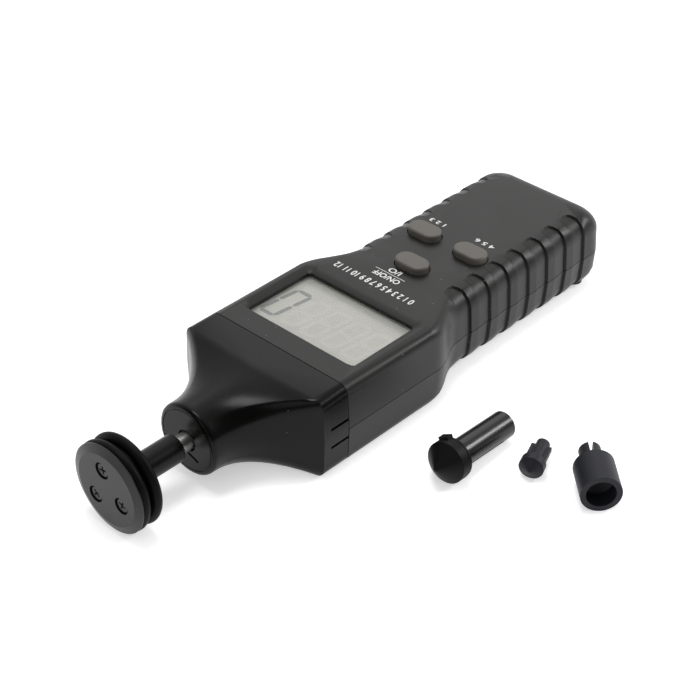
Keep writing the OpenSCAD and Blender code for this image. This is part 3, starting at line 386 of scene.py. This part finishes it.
def figure(middle_y, with_middle):
    """The bars of one figure, leaning like italic print. A nought has no middle bar."""
    half_w, half_h = DIGIT_W / 2, DIGIT_H / 2
    length = half_h - SEGMENT_GAP
    bars = []
    for side in (-1, 1):
        for level in (-1, 1):
            spot = (level * half_h / 2, side * half_w, 0)
            bars.append(segment(length, SEGMENT_W, spot, True))
    for level in (-1, 0, 1) if with_middle else (-1, 1):
        bars.append(segment(DIGIT_W - SEGMENT_GAP, SEGMENT_W, (level * half_h, 0, 0), False))
    for bar in bars:
        for corner in bar.data.vertices:
            corner.co.y += middle_y - DIGIT_SLANT * corner.co.x
            corner.co.x += FIGURE_X
            corner.co.z += panel_top
    return bars


lit_segment = moulded(
    "lit_segment", (0.15, 0.16, 0.155), (0.175, 0.185, 0.175), rough=0.5,
    depth=0.000001, edge=0.00001,
)
idle_segment = moulded(
    "idle_segment", (0.369, 0.357, 0.328), (0.399, 0.388, 0.359), rough=0.35,
    depth=0.000001, edge=0.00001,
)
joined(figure(FIGURE_Y, False), "shown_figure", lit_segment, "housing")
idle_bars = []
for place in range(1, IDLE_FIGURES + 1):
    idle_bars += figure(FIGURE_Y + place * DIGIT_PITCH, True)
joined(idle_bars, "idle_figures", idle_segment, "housing")

strip_rubber = moulded("strip_rubber", (0.16, 0.16, 0.17), (0.2, 0.2, 0.21), rough=0.6)
finish_node("contact_strips", strip_rubber)


# Printing on the upper shell
# White marks printed on the flat face: a row of plain numbers behind the display, and a simple
# sign next to each button. They are a film of ink that stands just proud of the plastic.

INK_T = 0.00003
INK_SPREAD = 0.021
TOP_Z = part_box("upper_shell")[1].z
SWITCH_Y = -0.0018
SWITCH_WORDS_H = 0.0026
RULE_LOW = (-0.03215, -0.0088)
RULE_HIGH = (-0.03190, 0.0046)

ink = moulded(
    "white_ink", (0.72, 0.72, 0.70), (0.8, 0.8, 0.78), rough=0.5, grain=12000, depth=0.000004
)


def printed(words, place, height, width):
    """Words printed across the body, read with the wheel pointing away; place is their middle."""
    bpy.ops.object.select_all(action="DESELECT")
    bpy.ops.object.text_add(location=(0, 0, 0))
    text = bpy.context.object
    text.data.body = words
    text.data.align_x, text.data.align_y = "CENTER", "CENTER"
    text.data.extrude = INK_T / 2
    text.data.offset = INK_SPREAD
    bpy.ops.object.convert(target="MESH")
    text = bpy.context.object
    low = Vector([min(c.co[i] for c in text.data.vertices) for i in range(3)])
    high = Vector([max(c.co[i] for c in text.data.vertices) for i in range(3)])
    middle, size = (low + high) / 2, high - low
    for corner in text.data.vertices:
        across = (corner.co.x - middle.x) * width / size.x
        along = (corner.co.y - middle.y) * height / size.y
        corner.co = (place[0] + along, place[1] - across, TOP_Z + corner.co.z + INK_T / 2)
    return text


def ink_bar(low, high):
    """A printed rectangle between two corners."""
    bpy.ops.object.select_all(action="DESELECT")
    bpy.ops.mesh.primitive_cube_add(size=1, location=(0, 0, 0))
    bar = bpy.context.object
    middle = ((low[0] + high[0]) / 2, (low[1] + high[1]) / 2, TOP_Z + INK_T / 2)
    span = (high[0] - low[0], high[1] - low[1], INK_T, 1)
    bar.data.transform(Matrix.Translation(middle) @ Matrix.Diagonal(span))
    return bar


for name, words, place, height, width in (
    ("number_row", "0 1 2 3 4 5 6 7 8 9 10 11 12", (-0.0241, -0.0026), 0.0031, 0.0358),
    ("memory_mark", "1 2 3", (-0.0685, -0.0122), 0.0021, 0.0069),
    ("test_mark", "4 5 6", (-0.0690, 0.0092), 0.0021, 0.0084),
):
    joined([printed(words, place, height, width)], name, ink, "housing")
switch_words = [
    printed("ON/OFF", (-0.0298, SWITCH_Y), SWITCH_WORDS_H, 0.0115),
    ink_bar(RULE_LOW, RULE_HIGH),
    printed("I/O", (-0.0342, SWITCH_Y), SWITCH_WORDS_H, 0.0052),
]
joined(switch_words, "switch_mark", ink, "housing")


# Buttons
# Three caps of warm grey rubbery plastic with softened edges. Each is moulded with a flange that
# holds it under the shell.

button_plastic = moulded(
    "button_plastic", (0.080, 0.073, 0.063), (0.090, 0.082, 0.071), rough=0.5, grain=12000
)
for name in ("power_button", "memory_button", "test_button"):
    finish_node(name, button_plastic)


# Boards and what they carry
# Green laminate with copper tracks under its mask, and dark moulded parts and switches soldered
# to it. A red filter in the front wall lets the sensor look at the disc.

MASK_ROUGH = 0.3
DARK_MASK = (0.02, 0.12, 0.05, 1)
LIGHT_MASK = (0.025, 0.14, 0.06, 1)
TRACK_COLOUR = (0.05, 0.22, 0.1, 1)
TRACK_SCALE = 180.0
TRACK_SHARE = 0.03

board_laminate, board_tree, board_shader = new_material("board_laminate")
board_shader.inputs["Roughness"].default_value = MASK_ROUGH
tracks = add_node(
    board_tree, "ShaderNodeTexBrick",
    Scale=TRACK_SCALE, Mortar_Size=TRACK_SHARE, Color1=DARK_MASK, Color2=LIGHT_MASK,
    Mortar=TRACK_COLOUR,
)
board_tree.links.new(
    add_node(board_tree, "ShaderNodeTexCoord").outputs["Object"], tracks.inputs["Vector"]
)
board_tree.links.new(tracks.outputs["Color"], board_shader.inputs["Base Color"])
component_plastic = moulded(
    "component_plastic", (0.02, 0.02, 0.02), (0.03, 0.03, 0.03), rough=0.45
)
for name in ("main_board", "sensor_board"):
    finish_node(name, board_laminate)
for name in ("board_parts", "tact_switches", "sensor_eyes"):
    finish_node(name, component_plastic)
red_filter = moulded(
    "red_filter", (0.1, 0.008, 0.01), (0.12, 0.01, 0.012), rough=0.15, depth=0.000001
)
finish_node("sensor_window", red_filter)


# Cells and their contacts
# Four cells in film sleeves, in two rows. Nickel-plated plates stand at the ends of the bay, and
# each row has a conical spring of plated steel wire.

LINE_STRETCH = 0.02
METAL_CLOUD_SCALE = 90.0
DARK_SHARE = 0.88
POLISHED_SHARE = 0.8
DULL_SHARE = 1.3


def turned_metal(name, colour, rough, axis, spacing, depth):
    """Metal with the fine lines that a tool leaves, spaced along one axis (0 is x, 2 is z)."""
    made, tree, shader = new_material(name)
    shader.inputs["Metallic"].default_value = 1.0
    place = add_node(tree, "ShaderNodeTexCoord").outputs["Object"]
    stretch = add_node(tree, "ShaderNodeMapping")
    stretch.inputs["Scale"].default_value = [1 if i == axis else LINE_STRETCH for i in range(3)]
    lines = add_node(tree, "ShaderNodeTexNoise", Scale=1 / spacing, Detail=4.0)
    cloud = add_node(tree, "ShaderNodeTexNoise", Scale=METAL_CLOUD_SCALE, Detail=2.0)
    tones = add_node(tree, "ShaderNodeValToRGB")
    tones.color_ramp.elements[0].color = (*[c * DARK_SHARE for c in colour], 1)
    tones.color_ramp.elements[1].color = (*colour, 1)
    wear = add_node(tree, "ShaderNodeMapRange")
    wear.inputs["To Min"].default_value = rough * POLISHED_SHARE
    wear.inputs["To Max"].default_value = rough * DULL_SHARE
    bump = add_node(tree, "ShaderNodeBump", Strength=1.0, Distance=depth)
    tree.links.new(place, stretch.inputs["Vector"])
    tree.links.new(stretch.outputs["Vector"], lines.inputs["Vector"])
    tree.links.new(place, cloud.inputs["Vector"])
    tree.links.new(cloud.outputs["Fac"], tones.inputs["Fac"])
    tree.links.new(tones.outputs["Color"], shader.inputs["Base Color"])
    tree.links.new(lines.outputs["Fac"], wear.inputs["Value"])
    tree.links.new(wear.outputs["Result"], shader.inputs["Roughness"])
    tree.links.new(lines.outputs["Fac"], bump.inputs["Height"])
    tree.links.new(bump.outputs["Normal"], shader.inputs["Normal"])
    return made


SPRING_ANGLE = 70

cell_film = turned_metal(
    "cell_film", (0.3, 0.32, 0.36), rough=0.35, axis=0, spacing=0.0004, depth=0.000002
)
contact_nickel = turned_metal(
    "contact_nickel", (0.66, 0.64, 0.58), rough=0.3, axis=1, spacing=0.0003, depth=0.000002
)
finish_node("battery_cells", cell_film)
finish_node("battery_plates", contact_nickel)
dressed("battery_springs", contact_nickel, angle=SPRING_ANGLE)


# Screws of the case and the board
# Zinc-plated steel. Four cross-recess screws are driven from the back into bosses of the upper
# shell, and four small ones with plain heads hold the main board to its posts.

screw_zinc = turned_metal(
    "screw_zinc", (0.6, 0.6, 0.6), rough=0.35, axis=2, spacing=0.0003, depth=0.000003
)
for name in ("case_screws", "board_screws"):
    finish_node(name, screw_zinc)


# Nose adapter
# Semi-gloss black plastic, flared from the housing's section down to the round nose, with two
# latch slots in each side.

adapter_plastic = moulded(
    "adapter_plastic", (0.0014, 0.0014, 0.0012), (0.0019, 0.0019, 0.0017), rough=0.26,
    depth=0.000004, edge=0.00012, dust=0.022, gloss=0.16,
)
dressed("nose_adapter", adapter_plastic)


# Bearings, spindle and disc
# Ground steel rings and balls, a polished spindle that turns in them, a spring ring that keeps
# it in, and a pale slotted disc at its rear end.

bearing_steel = turned_metal(
    "bearing_steel", (0.62, 0.62, 0.63), rough=0.22, axis=0, spacing=0.0002, depth=0.000002
)
spindle_steel = turned_metal(
    "spindle_steel", (0.9, 0.89, 0.87), rough=0.3, axis=0, spacing=0.00015, depth=0.000001
)
spring_steel = turned_metal(
    "spring_steel", (0.3, 0.3, 0.3), rough=0.35, axis=0, spacing=0.0002, depth=0.000002
)
for name in ("bearing_outer_rings", "bearing_inner_rings", "bearing_balls", "bearing_spacer"):
    finish_node(name, bearing_steel)
finish_node("spindle", spindle_steel)
finish_node("retaining_ring", spring_steel)
disc_plastic = moulded("disc_plastic", (0.66, 0.66, 0.62), (0.72, 0.72, 0.69), rough=0.4)
finish_node("chopper_disc", disc_plastic)


# Contact wheel
# A black sleeve and rim in one piece, two rubber rings in grooves of the rim, and a front plate
# held by three black cross-recess screws.

wheel_plastic = moulded(
    "wheel_plastic", (0.006, 0.006, 0.0057), (0.0075, 0.0075, 0.0071), rough=0.36,
    depth=0.000006, edge=0.00012, dust=0.02, gloss=0.34,
)
sleeve_plastic = moulded(
    "sleeve_plastic", (0.0012, 0.0012, 0.0011), (0.0017, 0.0017, 0.0015), rough=0.32,
    depth=0.000006, edge=0.00012, dust=0.02, gloss=0.17,
)
drive_rubber = moulded(
    "drive_rubber", (0.0022, 0.0022, 0.0022), (0.0028, 0.0028, 0.0028), rough=0.5, gloss=0.08
)
dark_screw = moulded(
    "dark_screw", (0.006, 0.006, 0.006), (0.008, 0.008, 0.008), rough=0.32, edge=0.00008, gloss=0.35
)
finish_node("wheel_hub", sleeve_plastic)
finish_node("wheel_plate", wheel_plastic)
for name in ("rear_drive_ring", "front_drive_ring"):
    finish_node(name, drive_rubber)
finish_node("wheel_screws", dark_screw)


# Spare tips
# A polished black tube with a moulded cone of dark rubber in its end, and a small cone and a cup
# of blue-grey rubber. They lie loose beside the instrument.

tube_plastic = moulded(
    "tube_plastic", (0.005, 0.005, 0.0046), (0.0062, 0.0062, 0.0057), rough=0.25,
    grain=20000, depth=0.0000005, edge=0.0001, gloss=0.33,
)
cone_rubber = moulded(
    "cone_rubber", (0.003, 0.003, 0.003), (0.004, 0.004, 0.004), rough=0.5,
    edge=0.0001, gloss=0.13,
)
tip_rubber = moulded(
    "tip_rubber", (0.0115, 0.0118, 0.016), (0.014, 0.0144, 0.0195), rough=0.48,
    edge=0.0001, gloss=0.22,
)
finish_node("extension_shaft", tube_plastic)
finish_node("large_cone_tip", cone_rubber)
for name in ("small_cone_tip", "cup_tip"):
    finish_node(name, tip_rubber)
